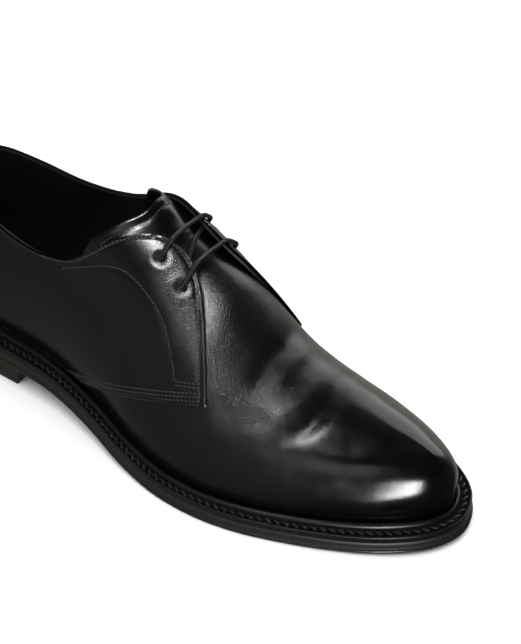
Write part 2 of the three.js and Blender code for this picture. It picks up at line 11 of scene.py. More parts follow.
import bmesh
import bpy
import numpy as np
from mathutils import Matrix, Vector


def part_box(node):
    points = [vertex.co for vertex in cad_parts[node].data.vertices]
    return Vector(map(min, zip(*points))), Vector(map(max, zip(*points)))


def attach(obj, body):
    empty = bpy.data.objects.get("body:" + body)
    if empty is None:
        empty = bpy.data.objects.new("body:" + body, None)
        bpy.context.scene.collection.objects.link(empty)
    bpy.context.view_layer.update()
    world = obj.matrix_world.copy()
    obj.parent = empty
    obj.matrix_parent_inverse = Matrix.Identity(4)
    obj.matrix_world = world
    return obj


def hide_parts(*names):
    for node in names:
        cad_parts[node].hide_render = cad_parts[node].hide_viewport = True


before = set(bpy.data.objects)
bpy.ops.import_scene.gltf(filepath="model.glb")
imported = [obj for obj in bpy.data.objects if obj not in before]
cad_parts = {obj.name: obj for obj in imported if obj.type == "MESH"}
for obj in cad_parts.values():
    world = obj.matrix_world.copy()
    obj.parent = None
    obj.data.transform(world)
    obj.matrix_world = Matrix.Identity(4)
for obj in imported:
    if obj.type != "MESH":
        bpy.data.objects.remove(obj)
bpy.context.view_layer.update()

# Main sizes, in millimetres.
MM = 0.001
SOLE_LENGTH = 304.0
SOLE_WIDTH = 106.0
INSTEP_HEIGHT = 104.0
HEEL_LIFT = 10.5
SEAT_RISE = 2.0
TOE_SPRING = 2.5
SOLE_THICKNESS = 6.0
WELT_THICKNESS = 3.0
INSOLE_THICKNESS = 5.0
WELT_WIDTH = 8.6
GAP = 0.3
WELT_TOP = SOLE_THICKNESS + GAP + WELT_THICKNESS
FEATHER = WELT_TOP + GAP
BREAST = 0.263 * SOLE_LENGTH
FLAT_START = 0.61 * SOLE_LENGTH
FLAT_END = 0.72 * SOLE_LENGTH

QUARTER_TOP = 1.3
LEATHER = 1.2
LEATHER_ROUNDING = 0.4
LINING = 1.1
LINING_ROUNDING = 0.3
LINING_GAP = 0.02
LACE_RADIUS = 1.12
QUARTER_RUN = 196.0
QUARTER_RISE = 84.0
VAMP_RUN = 172.0
VAMP_DEPTH = 1.04
TONGUE_SEAM = 3.2
EYELET_RADIUS = 1.65
EYELET_STEP = 0.4
STITCH = 1.9
STITCH_LENGTH = 1.15
THREAD_RADIUS = 0.34
HOLE_LENGTH = 1.0
HOLE_RADIUS = 0.46
INSOLE_INSET = 2.9
WELT_STITCH = 4.1
WELT_SLANT = math.radians(-34)


def table(names, rows):
    """The columns of a table, by name."""
    return dict(zip(names.split(), np.array(rows, float).T))


# The edge of the sole from above: shares of its length and width, and of the welt's width.
outline = table("along outer inner welt_outer welt_inner", [
    (0.000, 0.000, 0.000, 1.00, 1.00),
    (0.008, 0.121, 0.118, 1.01, 1.01),
    (0.033, 0.236, 0.220, 1.05, 1.04),
    (0.082, 0.311, 0.288, 1.12, 1.07),
    (0.164, 0.342, 0.312, 1.18, 1.07),
    (0.263, 0.347, 0.292, 1.17, 1.04),
    (0.345, 0.360, 0.274, 1.05, 1.00),
    (0.428, 0.406, 0.284, 0.96, 0.98),
    (0.510, 0.472, 0.336, 0.93, 0.98),
    (0.586, 0.511, 0.399, 0.93, 0.98),
    (0.658, 0.513, 0.455, 0.95, 0.99),
    (0.724, 0.480, 0.482, 1.00, 1.00),
    (0.789, 0.417, 0.469, 1.04, 1.00),
    (0.855, 0.336, 0.428, 1.09, 1.00),
    (0.914, 0.244, 0.365, 1.14, 1.02),
    (0.961, 0.140, 0.285, 1.16, 1.05),
    (0.988, 0.042, 0.196, 1.12, 1.07),
    (1.000, -0.073, 0.073, 1.09, 1.09),
])

# The line along the top of the last: height as a share of the instep, across of the width.
ridge = table("along height across", [
    (0.099, 1.231, 0.000),
    (0.197, 1.231, 0.009),
    (0.296, 1.207, 0.024),
    (0.395, 1.144, 0.042),
    (0.461, 1.077, 0.052),
    (0.516, 1.000, 0.057),
    (0.556, 0.923, 0.057),
    (0.609, 0.803, 0.050),
    (0.674, 0.618, 0.053),
    (0.740, 0.528, 0.064),
    (0.806, 0.475, 0.067),
    (0.862, 0.442, 0.065),
    (0.908, 0.411, 0.072),
])
RIDGE_BACK = 0.099
RIDGE_FRONT = 0.908

# How each profile leaves the welt (bulge, rise) and comes in level at the top (round).
profiles = table("along bulge_outer rise_outer round_outer bulge_inner rise_inner round_inner", [
    (0.00, 0.066, 0.346, 0.132, 0.066, 0.346, 0.132),
    (0.10, 0.094, 0.385, 0.226, 0.085, 0.385, 0.226),
    (0.30, 0.085, 0.404, 0.274, 0.085, 0.404, 0.236),
    (0.45, 0.075, 0.365, 0.283, 0.094, 0.404, 0.245),
    (0.55, 0.057, 0.308, 0.283, 0.075, 0.356, 0.226),
    (0.65, 0.047, 0.240, 0.274, 0.047, 0.245, 0.204),
    (0.75, 0.038, 0.208, 0.255, 0.032, 0.182, 0.180),
    (0.85, 0.033, 0.175, 0.222, 0.030, 0.184, 0.186),
    (0.93, 0.032, 0.158, 0.185, 0.038, 0.192, 0.175),
    (1.00, 0.043, 0.176, 0.176, 0.043, 0.176, 0.176),
])

# The collar's edge, from the back of the heel to the top corner of the facings.
topline = table("along outer inner", [
    (0.000, 0.500, 0.500),
    (0.067, 0.495, 0.485),
    (0.130, 0.490, 0.467),
    (0.200, 0.478, 0.461),
    (0.245, 0.458, 0.468),
    (0.290, 0.454, 0.487),
    (0.330, 0.477, 0.515),
    (0.360, 0.513, 0.548),
    (0.388, 0.582, 0.600),
    (0.430, 0.724, 0.720),
    (0.468, 0.819, 0.815),
    (0.498, 0.862, 0.860),
])

# The front edge of the quarters, from the low corner up to the facing's top corner.
front_edge = table("along up", [
    (0.649, 0.470),
    (0.637, 0.562),
    (0.621, 0.655),
    (0.605, 0.728),
    (0.590, 0.782),
    (0.578, 0.820),
    (0.565, 0.848),
    (0.553, 0.865),
    (0.538, 0.875),
    (0.523, 0.877),
    (0.508, 0.871),
    (0.498, 0.862),
])

# The low edge of the quarters, from the back of the heel to the low corner.
low_edge = table("along up", [
    (0.000, 0.030),
    (0.340, 0.030),
    (0.392, 0.052),
    (0.438, 0.121),
    (0.488, 0.202),
    (0.551, 0.307),
    (0.605, 0.388),
    (0.649, 0.470),
])
CORNER_HIGH = 0.498
CORNER_LOW = 0.649

# The back edge of the vamp: hidden below the quarters, and the tongue's free edge above.
tongue_back = table("up along", [
    (-0.10, 0.310),
    (0.150, 0.335),
    (0.350, 0.362),
    (0.500, 0.376),
    (0.587, 0.382),
    (0.651, 0.388),
    (0.704, 0.399),
    (0.770, 0.414),
    (0.872, 0.434),
    (0.941, 0.439),
    (1.000, 0.437),
])

# How deep the tongue lies below the last's surface, under the laces.
tongue_depth = table("along depth", [
    (0.385, 1.9),
    (0.440, 2.4),
    (0.490, 4.2),
    (0.560, 4.1),
    (0.590, 2.2),
    (0.620, 0.5),
    (0.650, 0.0),
])

# The punched eyelets, and where each bar of the lace bends over the facing's edge.
eyelets = table("along up", [
    (0.502, 0.779),
    (0.551, 0.759),
])
BAR_EDGE = 0.875
BAR_CROWN = 0.8

TOE = len(outline["along"]) - 1
LOOP_END = 2 * TOE


def round_the_sole(outer, inner):
    """Values down the outer side and back up the inner side, one for each step of the loop."""
    return np.concatenate([outer, inner[TOE - 1:0:-1]])


ring_along = round_the_sole(outline["along"], outline["along"]) * SOLE_LENGTH
ring_across = round_the_sole(-outline["outer"], outline["inner"]) * SOLE_WIDTH
ring_welt = round_the_sole(outline["welt_outer"], outline["welt_inner"]) * WELT_WIDTH


def spline(a, b, c, d, t):
    """A smooth curve from b to c, t from 0 to 1, with a before them and d after."""
    return b + 0.5 * t * (c - a + t * (2 * a - 5 * b + 4 * c - d + t * (3 * (b - c) + d - a)))


def ring(values, at):
    """A smooth closed curve through values that are one step apart."""
    at = np.asarray(at, float)
    start = np.floor(at).astype(int)
    return spline(*(values[(start + k) % len(values)] for k in (-1, 0, 1, 2)), at - start)


def curve_of(known, values, at):
    """A smooth curve through one column of a table, read at a value of another column."""
    slope = np.empty_like(values)
    slope[1:-1] = (values[2:] - values[:-2]) / (known[2:] - known[:-2])
    slope[0] = (values[1] - values[0]) / (known[1] - known[0])
    slope[-1] = (values[-1] - values[-2]) / (known[-1] - known[-2])
    at = np.clip(at, known[0], known[-1])
    k = np.clip(np.searchsorted(known, at, side="right") - 1, 0, len(known) - 2)
    width = known[k + 1] - known[k]
    t = (at - known[k]) / width
    return ((1 + 2 * t) * (1 - t) ** 2 * values[k] + t * (1 - t) ** 2 * width * slope[k]
            + t * t * (3 - 2 * t) * values[k + 1] + t * t * (t - 1) * width * slope[k + 1])


def band(away, wide):
    """1 where away is 0, fading softly to both sides."""
    return np.exp(-(away / wide) ** 2)


def smooth(x, low, high):
    """Rises softly from 0 at low to 1 at high."""
    t = np.clip((x - low) / (high - low), 0, 1)
    return t * t * (3 - 2 * t)


def lift(x):
    """The height of the sole's underside above the floor."""
    arch = smooth(x, BREAST, FLAT_START)
    seat = SEAT_RISE * np.maximum(0, 1 - x / BREAST)
    spring = np.maximum(0, (x - FLAT_END) / (SOLE_LENGTH - FLAT_END)) ** 2
    return HEEL_LIFT * (1 - arch) + seat + TOE_SPRING * spring


def edge(loop, inset):
    """The sole's edge from above, moved in by inset, with its outward direction."""
    step = 1e-3
    dx = ring(ring_along, loop + step) - ring(ring_along, loop - step)
    dy = ring(ring_across, loop + step) - ring(ring_across, loop - step)
    size = np.hypot(dx, dy)
    out_x, out_y = dy / size, -dx / size
    x = ring(ring_along, loop) - out_x * inset
    y = ring(ring_across, loop) - out_y * inset
    return x, y, out_x, out_y


def over_edge(loop, inset, height):
    """A point moved in from the sole's edge by inset, at a height above the underside."""
    x, y = edge(loop, inset)[:2]
    return np.stack([x, y, lift(x) + height], -1)


def station(loop):
    """The same step of the loop on the outer side, for either side."""
    turn = np.asarray(loop, float) % LOOP_END
    return np.where(turn > TOE, LOOP_END - turn, turn)


def along_of(loop):
    """How far along the sole a loop value is, as a share of its length."""
    return ring(ring_along, station(loop)) / SOLE_LENGTH


stations = np.linspace(0, TOE, 2000)
station_along = ring(ring_along, stations) / SOLE_LENGTH


def loop_at(along, inner):
    """The loop value of a share of the sole's length, on either side."""
    found = np.interp(along, station_along, stations)
    return np.where(inner, LOOP_END - found, found)


def ridge_at(along):
    """The point that a profile runs up to, and how the ridge rises and drifts there."""
    share = RIDGE_BACK + (RIDGE_FRONT - RIDGE_BACK) * along
    step = 0.0016
    low = np.maximum(share - step, RIDGE_BACK)
    high = np.minimum(share + step, RIDGE_FRONT)

    def height(at):
        return curve_of(ridge["along"], ridge["height"], at) * INSTEP_HEIGHT

    def across(at):
        return curve_of(ridge["along"], ridge["across"], at) * SOLE_WIDTH

    run = (high - low) * SOLE_LENGTH
    point = np.stack([share * SOLE_LENGTH, across(share), height(share)], -1)
    return point, (height(high) - height(low)) / run, (across(high) - across(low)) / run


def last_point(loop, up):
    """A point of the last, for arrays of loop and up."""
    loop = np.asarray(loop, float) % LOOP_END
    inner = loop > TOE
    along = along_of(loop)

    def profile(name):
        values = [curve_of(profiles["along"], profiles[name + side], along)
                  for side in ("_inner", "_outer")]
        return np.where(inner, values[0], values[1])

    foot_x, foot_y, out_x, out_y = edge(loop, ring(ring_welt, loop))
    top, rise, drift = ridge_at(along)
    bulge = profile("bulge") * SOLE_WIDTH
    reach = profile("round") * SOLE_WIDTH
    start = np.stack([foot_x, foot_y, lift(foot_x) + FEATHER], -1)
    lean = start + np.stack([out_x * bulge, out_y * bulge, profile("rise") * INSTEP_HEIGHT], -1)
    side_x, side_y = foot_x - top[..., 0], foot_y - top[..., 1]
    size = np.hypot(side_x, side_y)
    side_x, side_y = side_x / size, side_y / size
    forward = (side_x + side_y * drift) / (1 + drift ** 2)
    shoulder = top + np.stack([side_x, side_y, forward * rise], -1) * reach[..., None]
    t = np.asarray(up, float)[..., None]
    return ((1 - t) ** 3 * start + 3 * t * (1 - t) ** 2 * lean
            + 3 * t * t * (1 - t) * shoulder + t ** 3 * top)


def last_normal(loop, up):
    """The outward direction of the last."""
    step = 0.02
    low, high = np.maximum(up - step, -0.1), np.minimum(up + step, 1)
    round_it = last_point(loop + step, up) - last_point(loop - step, up)
    rising = last_point(loop, high) - last_point(loop, low)
    sloped = np.cross(round_it, rising)
    sloped /= np.maximum(np.linalg.norm(sloped, axis=-1, keepdims=True), 1e-9)
    _, rise, drift = ridge_at(along_of(loop))
    ones = np.ones_like(rise)
    level = np.cross(np.stack([ones, drift, rise], -1), np.stack([-drift, ones, 0 * ones], -1))
    level /= np.linalg.norm(level, axis=-1, keepdims=True)
    near = smooth(up, 0.97, 1.0)[..., None]
    mixed = sloped * (1 - near) + level * near
    return mixed / np.linalg.norm(mixed, axis=-1, keepdims=True)


def skin(loop, up, offset):
    """A point that lies offset outside the last."""
    loop, up, offset = np.broadcast_arrays(
        np.asarray(loop, float), np.asarray(up, float), np.asarray(offset, float))
    return last_point(loop, up) + last_normal(loop, up) * offset[..., None]


# The last is drawn with its heel at x = 0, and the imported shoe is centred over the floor.
sole_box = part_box("outsole")
edge_x, edge_y = edge(np.linspace(0, LOOP_END, 2000), 0)[:2]
SHIFT = np.array([
    (sole_box[0][0] + sole_box[1][0]) / 2 / MM - (edge_x.min() + edge_x.max()) / 2,
    (sole_box[0][1] + sole_box[1][1]) / 2 / MM - (edge_y.min() + edge_y.max()) / 2,
    0.0,
])


def to_frame(points):
    """From the last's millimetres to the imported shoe's metres."""
    return (points + SHIFT) * MM


def linear(hex_colour):
    """A colour for a shader, from its sRGB hex value."""
    shades = [int(hex_colour[k:k + 2], 16) / 255 for k in (1, 3, 5)]
    return [s / 12.92 if s <= 0.04045 else ((s + 0.055) / 1.055) ** 2.4 for s in shades] + [1]


def add(tree, kind, settings=None, **inputs):
    """Adds a node, with its settings, and its inputs as values or as another node's output."""
    node = tree.nodes.new(kind)
    for name, value in (settings or {}).items():
        setattr(node, name, value)
    for name, value in inputs.items():
        key = int(name[1:]) if name[0] == "_" else name.replace("_", " ")
        if isinstance(value, bpy.types.NodeSocket):
            tree.links.new(value, node.inputs[key])
        else:
            node.inputs[key].default_value = value
    return node


def material(name):
    """An empty material with its shader."""
    made = bpy.data.materials.new(name)
    made.use_nodes = True
    tree = made.node_tree
    shader = tree.nodes["Principled BSDF"]
    return made, tree, shader


def calc(tree, operation, *values):
    """The result of a maths node."""
    inputs = {f"_{k}": value for k, value in enumerate(values)}
    return add(tree, "ShaderNodeMath", {"operation": operation}, **inputs).outputs[0]


def ramp(tree, value, start, end, low, high, kind="SMOOTHSTEP"):
    """Runs from low to high as value runs from start to end."""
    return add(tree, "ShaderNodeMapRange", {"interpolation_type": kind}, Value=value,
               From_Min=start, From_Max=end, To_Min=low, To_Max=high).outputs[0]


def shade(tree, shader, colour, tint, share):
    """Lets the base colour wander between two shades."""
    mixed = add(tree, "ShaderNodeMix", {"data_type": "RGBA"}, Factor=share,
                A=linear(colour), B=linear(tint))
    tree.links.new(mixed.outputs["Result"], shader.inputs["Base Color"])


def leather(name, colour, tint, rough, coat):
    """Black calf, chrome tanned, dyed through and polished with wax: a smooth skin with fine
    pores, a soft gloss that wanders, a fine pebble where it flexes and more polish on the
    toe."""
    made, tree, shader = material(name)
    place = add(tree, "ShaderNodeTexCoord").outputs["Object"]
    flex = add(tree, "ShaderNodeAttribute", {"attribute_name": "flex"}).outputs["Fac"]
    pores = add(tree, "ShaderNodeTexVoronoi", {"feature": "F1"}, Vector=place, Scale=1500.0)
    pebble = add(tree, "ShaderNodeTexVoronoi", {"feature": "SMOOTH_F1"}, Vector=place,
                 Scale=1900.0)
    waves = add(tree, "ShaderNodeTexNoise", None, Vector=place, Scale=38.0, Detail=2.0)
    cloud = add(tree, "ShaderNodeTexNoise", None, Vector=place, Scale=90.0,
                Detail=4.0).outputs["Fac"]
    fine = add(tree, "ShaderNodeBump", None, Height=pores.outputs["Distance"],
               Strength=0.10, Distance=0.0002)
    worn = add(tree, "ShaderNodeBump", {"invert": True}, Height=pebble.outputs["Distance"],
               Strength=calc(tree, "MULTIPLY_ADD", flex, 0.95, 0.04), Distance=0.00028,
               Normal=fine.outputs[0])
    soft = add(tree, "ShaderNodeBump", None, Height=waves.outputs["Fac"],
               Strength=0.05, Distance=0.003, Normal=worn.outputs[0])
    tree.links.new(soft.outputs[0], shader.inputs["Normal"])
    gloss = ramp(tree, cloud, 0.3, 0.7, rough - 0.03, rough + 0.03, "LINEAR")
    dulled = calc(tree, "MULTIPLY_ADD", flex, 0.13, gloss)
    forward = add(tree, "ShaderNodeSeparateXYZ", None, Vector=place).outputs["X"]
    polished = calc(tree, "SUBTRACT", dulled, ramp(tree, forward, 0.08, 0.12, 0.0, 0.045))
    for socket in ("Roughness", "Coat Roughness"):
        tree.links.new(polished, shader.inputs[socket])
    shade(tree, shader, colour, tint, cloud)
    shader.inputs["IOR"].default_value = 1.5
    shader.inputs["Coat Weight"].default_value = coat
    return made


def matt(name, colour, tint, rough, scale, bump):
    """A dull, fine-grained surface: its colour wanders between two shades."""
    made, tree, shader = material(name)
    place = add(tree, "ShaderNodeTexCoord").outputs["Object"]
    specks = add(tree, "ShaderNodeTexNoise", None, Vector=place, Scale=scale, Detail=5.0)
    patches = add(tree, "ShaderNodeTexNoise", None, Vector=place, Scale=scale / 30,
                  Detail=3.0).outputs["Fac"]
    relief = add(tree, "ShaderNodeBump", None, Height=specks.outputs["Fac"],
                 Strength=bump, Distance=0.0003)
    tree.links.new(relief.outputs[0], shader.inputs["Normal"])
    shade(tree, shader, colour, tint, patches)
    gloss = ramp(tree, patches, 0.3, 0.7, rough - 0.05, rough + 0.06, "LINEAR")
    tree.links.new(gloss, shader.inputs["Roughness"])
    shader.inputs["IOR"].default_value = 1.5
    return made


def braided_cord(name, colour, tint, turns, around):
    """Waxed cotton braid: strands that cross in two directions, from the cord's own UV map."""
    made, tree, shader = material(name)
    uv = add(tree, "ShaderNodeUVMap", {"uv_map": "UVMap"}).outputs[0]
    parts = add(tree, "ShaderNodeSeparateXYZ", None, Vector=uv).outputs
    length = calc(tree, "MULTIPLY", parts[0], turns * 2 * math.pi)
    angle = calc(tree, "MULTIPLY", parts[1], around * 2 * math.pi)
    strands = calc(tree, "MULTIPLY", *[
        calc(tree, "SINE", calc(tree, "MULTIPLY_ADD", angle, sign, length))
        for sign in (1.0, -1.0)])
    relief = add(tree, "ShaderNodeBump", None, Height=strands, Strength=0.55, Distance=0.0004)
    tree.links.new(relief.outputs[0], shader.inputs["Normal"])
    # The colour follows the strands' relief, darker in the hollows between them and lighter on
    # their crests: painted shade.
    shade(tree, shader, colour, tint, ramp(tree, strands, -1.0, 1.0, 0.0, 1.0, "LINEAR"))
    shader.inputs["Roughness"].default_value = 0.33
    return made


# The upper: waxed and polished calf.
calf = leather("black_calf_waxed", "#040404", "#0a0908", 0.20, 0.25)
# The lining: thin calf without polish.
lining_calf = matt("black_lining_leather", "#0c0b0b", "#12100f", 0.55, 1500.0, 0.25)
# The sock on the insole: soft leather, worn a little.
sock_leather = matt("dark_sock_leather", "#0f0e0d", "#161412", 0.6, 1300.0, 0.3)
# The welt: firm leather, blackened and waxed.
welt_leather = matt("blackened_welt_leather", "#0e0e0e", "#151514", 0.30, 900.0, 0.14)
# The side of the sole and heel: moulded rubber with a satin face.
sole_rubber = matt("black_sole_rubber", "#1c1c1b", "#252524", 0.40, 700.0, 0.12)
# The underside, which is duller and rougher.
tread_rubber = matt("black_tread_rubber", "#191918", "#24211e", 0.62, 500.0, 0.3)
# The heel's breast: its stacked leather shows reddish.
breast_leather = matt("reddish_heel_breast", "#1d1210", "#2a1713", 0.6, 600.0, 0.25)
# The welt's thick thread, waxed, so that it shines.
thread = matt("black_waxed_thread", "#1a1a19", "#262625", 0.28, 2500.0, 0.2)
# The fine thread of the seams: a little greyer than the leather.
seam_thread = matt("black_seam_thread", "#30302e", "#3e3e3b", 0.36, 2500.0, 0.2)
# The needle holes between stitches: painted shade, as small dull black beads where the holes lie
# in shadow.
painted_hole_shade = matt("dark_needle_holes", "#020202", "#040404", 0.9, 900.0, 0.0)
# The lip at the foot of the sole's side: rubbed, so that it shows brown.
sole_lip = matt("brownish_sole_lip", "#1e1a17", "#27211d", 0.26, 500.0, 0.1)
# The lace: waxed cotton, with painted shade in the hollows of its braid.
lace_cord = braided_cord("black_lace_braid", "#060606", "#121212", 150, 4)


def to_data(name, mesh):
    """Mesh data from a bmesh, which is used up."""
    data = bpy.data.meshes.new(name)
    mesh.to_mesh(data)
    mesh.free()
    return data


def to_scene(name, data):
    """A new object in the scene."""
    made = bpy.data.objects.new(name, data)
    bpy.context.scene.collection.objects.link(made)
    return made


def finish_piece(name, mesh, look, replaces=(), flex=None, weld=0.01):
    """Makes a bmesh in the last's millimetres into a piece of the shoe, with one look or a
    list of them. Flex gives the strength of the flexed grain at each point."""
    bmesh.ops.remove_doubles(mesh, verts=mesh.verts, dist=weld)
    spots = np.array([v.co[:] for v in mesh.verts])
    data = to_data(name, mesh)
    data.vertices.foreach_set("co", to_frame(spots).astype(np.float32).ravel())
    if flex:
        layer = data.attributes.new("flex", "FLOAT", "POINT")
        layer.data.foreach_set("value", flex(spots).astype(np.float32))
    data.polygons.foreach_set("use_smooth", np.ones(len(data.polygons), bool))
    for each in look if isinstance(look, list) else [look]:
        data.materials.append(each)
    data.update()
    piece = to_scene(name, data)
    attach(piece, "root")
    if replaces:
        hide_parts(*replaces)
    return piece


def grid(columns, rows, place):
    """A grid whose corners are moved to place(u, v), with u and v from 0 to 1."""
    mesh = bmesh.new()
    mesh.loops.layers.uv.new("UVMap")
    bmesh.ops.create_grid(mesh, x_segments=columns, y_segments=rows, size=0.5, calc_uvs=True)
    flat = np.array([v.co[:] for v in mesh.verts]) + 0.5
    for vertex, spot in zip(mesh.verts, place(flat[:, 0], flat[:, 1])):
        vertex.co = Vector(spot)
    return mesh


def join(meshes):
    """One bmesh from several."""
    whole = meshes[0]
    for part in meshes[1:]:
        data = to_data("part", part)
        whole.from_mesh(data)
        bpy.data.meshes.remove(data)
    return whole


def face_out(mesh):
    """Turns every face of a closed bmesh outwards, once its doubles are merged."""
    bmesh.ops.remove_doubles(mesh, verts=mesh.verts, dist=0.01)
    bmesh.ops.recalc_face_normals(mesh, faces=mesh.faces)
    return mesh


def turn_out(mesh):
    """Turns an open sheet that stands round the shoe so that it faces outwards."""
    middle = Vector((100, 0, 40))
    if sum(f.normal.dot(f.calc_center_median() - middle) for f in mesh.faces) < 0:
        bmesh.ops.reverse_faces(mesh, faces=mesh.faces)


def thicken(piece, thickness, rounding):
    """Gives a sheet its thickness, inwards, with its cut edges rounded."""
    wall = piece.modifiers.new("thickness", "SOLIDIFY")
    wall.thickness = thickness * MM
    wall.offset = -1
    bevel = piece.modifiers.new("rounding", "BEVEL")
    bevel.width = rounding * MM
    bevel.segments = 3
    bevel.limit_method = "ANGLE"
    bevel.angle_limit = math.radians(55)


def spaced(fine_start, fine_end, coarse, span):
    """Grid lines across span, in millimetres, closer together near each end."""
    def end(spec):
        reach, step = spec
        return list(np.arange(0, reach, step)) if reach else [0.0]

    left = end(fine_start)
    right = [span - x for x in end(fine_end)][::-1]
    middle = np.linspace(left[-1], right[0], max(2, round((right[0] - left[-1]) / coarse) + 1))
    return np.unique(np.round(np.concatenate([left, middle, right]), 4)) / span


def read_line(lines, t):
    """Grid positions t, from 0 to 1 in even steps, read as the unevenly spaced lines."""
    return np.interp(t, np.linspace(0, 1, len(lines)), lines)


# Creases of the leather, as lines over the vamp seen from above, in the last's millimetres.
# Depth is negative for a trough and positive for a ridge, and wide is half its width.
creases = [
    {"line": [(208, -15), (207, -4), (208, 7), (204, 18)], "depth": -1.5, "wide": 4.2},
    {"line": [(199, -6), (200, 6), (195, 20)], "depth": 0.7, "wide": 6.0},
    {"line": [(214, -8), (214, 6), (212, 20)], "depth": 0.8, "wide": 3.4},
    {"line": [(221, 0), (222, 12), (220, 24)], "depth": -0.8, "wide": 5.0},
    {"line": [(222, -20), (227, -8), (229, 6), (227, 22)], "depth": 0.6, "wide": 3.6},
    {"line": [(227, -27), (235, -17), (238, -6), (236, 8), (232, 20)], "depth": -1.0,
     "wide": 3.8},
    {"line": [(241, -10), (244, 4), (240, 18)], "depth": 0.5, "wide": 4.0},
    {"line": [(243, -18), (252, -12), (269, -2), (277, 6)], "depth": -0.45, "wide": 4.2},
    {"line": [(238, -27), (254, -20), (272, -8)], "depth": 0.2, "wide": 6.0},
    {"line": [(205, -34), (213, -28), (224, -24)], "depth": -0.5, "wide": 4.0},
]

# Where the flexed grain stands out, with how strongly: the ridges between the creases.
grain_lines = [
    {"line": [(216, -22), (224, -10), (228, 4), (228, 22)], "depth": 0.35, "wide": 4.5},
    {"line": [(211, -4), (213, 10), (211, 22)], "depth": 0.3, "wide": 4.5},
    {"line": [(239, -10), (241, 4), (238, 18)], "depth": 0.35, "wide": 4.0},
    {"line": [(178, -22), (192, -16), (206, -16)], "depth": 0.3, "wide": 10.0},
]


def near_lines(lines, points):
    """The sum of soft bands along lines, each as strong as its depth."""
    total = np.zeros(len(points))
    for each in lines:
        line = np.array(each["line"], float)
        steps = np.linalg.norm(np.diff(line, axis=0), axis=1)
        whole = steps.sum()
        nearest = np.full(len(points), 1e9)
        travelled = np.zeros(len(points))
        before = 0.0
        for start, end, size in zip(line[:-1], line[1:], steps):
            along = np.clip(((points[:, :2] - start) @ (end - start)) / size ** 2, 0, 1)
            foot = start + along[:, None] * (end - start)
            away = np.linalg.norm(points[:, :2] - foot, axis=1)
            closer = away < nearest
            nearest = np.where(closer, away, nearest)
            travelled = np.where(closer, (before + along * size) / whole, travelled)
            before += size
        fade = np.sin(np.pi * np.clip(0.08 + 0.84 * travelled, 0, 1)) ** 0.7
        total += each["depth"] * fade * band(nearest, each["wide"])
    return total


def flex_mask(points):
    """Where the leather is pebbled: over the ball of the foot, most on the ridges there."""
    middle = np.array([196.0, -8.0])
    away = (points[:, :2] - middle) / np.array([42.0, 42.0])
    broad = 0.7 * np.exp(-(away ** 2).sum(1))
    return np.clip(broad + near_lines(grain_lines, points), 0, 1)


def fold(away):
    """The rise of a folded edge, away millimetres in from it."""
    return band(away - 0.9, 0.75)


def under_facings(loop, up):
    """How far the vamp sinks to become the tongue, between and under the facings."""
    along = along_of(loop)
    depth = curve_of(tongue_depth["along"], tongue_depth["depth"], along)
    return -depth * smooth(up, 0.55, 0.80)


def quarter_reach(corner, t):
    """Along, at a share t of the walk from the heel to a corner of the quarter."""
    return np.interp(t * np.interp(corner, station_along, stations), stations, station_along)


def front_of(q):
    """The front edge of the quarters, from its low corner, 0, to its high corner, 1."""
    steps = np.linspace(0, 1, len(front_edge["along"]))
    return curve_of(steps, front_edge["along"], q), curve_of(steps, front_edge["up"], q)


def quarter_place(s, q, inner):
    """A place on a quarter, from the heel, s = 0, to its front edge, and from its low edge,
    q = 0, to the collar, blended from its four edges."""
    def low(t):
        along = quarter_reach(CORNER_LOW, t)
        return along, curve_of(low_edge["along"], low_edge["up"], along)

    def high(t):
        along = quarter_reach(CORNER_HIGH, t)
        ups = [curve_of(topline["along"], topline[name], along) for name in ("outer", "inner")]
        return along, np.where(inner, ups[1], ups[0])

    front = front_of(q)
    zero, one = np.zeros_like(s), np.ones_like(s)
    heel = (zero, low(zero)[1] + q * (high(zero)[1] - low(zero)[1]))
    placed = []
    for k in (0, 1):
        between = (1 - q) * low(s)[k] + q * high(s)[k] + (1 - s) * heel[k] + s * front[k]
        corners = ((1 - s) * ((1 - q) * low(zero)[k] + q * high(zero)[k])
                   + s * ((1 - q) * front_of(zero)[k] + q * front_of(one)[k]))
        placed.append(between - corners)
    return np.maximum(0, placed[0]), placed[1]


def vamp_loop(up, inner, away):
    """The loop value away millimetres in front of the vamp's back edge, or the tongue's."""
    back = curve_of(tongue_back["up"], tongue_back["along"], up)
    back_station = np.interp(back, station_along, stations)
    where = back_station + (TOE - back_station) * away / VAMP_RUN
    return np.where(inner, LOOP_END - where, where)


def vamp_offset(loop, up, away):
    """How far the vamp stands off the last: its creases, and the tongue with its folded edge
    and its curled tip."""
    base = last_point(loop, up)
    worn = near_lines(creases, base) * smooth(base[:, 2], 24, 34)
    free = smooth(up, 0.52, 0.60)
    curl = 1.5 * band(away, 7.0) * smooth(up, 0.84, 0.98)
    hollow = -0.5 * band(away - 13.0, 6.0) * smooth(up, 0.62, 0.9)
    seam = 0.3 * band(away - TONGUE_SEAM, 0.7)
    return worn + under_facings(loop, up) + (0.4 * fold(away) - seam) * free + curl + hollow


def make_vamp():
    """The vamp, whose back runs on under the facings as the tongue."""
    lines = spaced((6.0, 0.6), (0, 1), 0.84, VAMP_RUN)

    def place(u, v):
        across = 2 * v - 1
        up = 1 - np.abs(across) * VAMP_DEPTH
        away = read_line(lines, u) * VAMP_RUN
        loop = vamp_loop(up, across > 0, away)
        return skin(loop, up, vamp_offset(loop, up, away))

    mesh = grid(len(lines) - 1, 190, place)
    piece = finish_piece("vamp_and_tongue", mesh, calf, ("upper", "tongue"),
                         flex_mask)
    thicken(piece, LEATHER, LEATHER_ROUNDING)


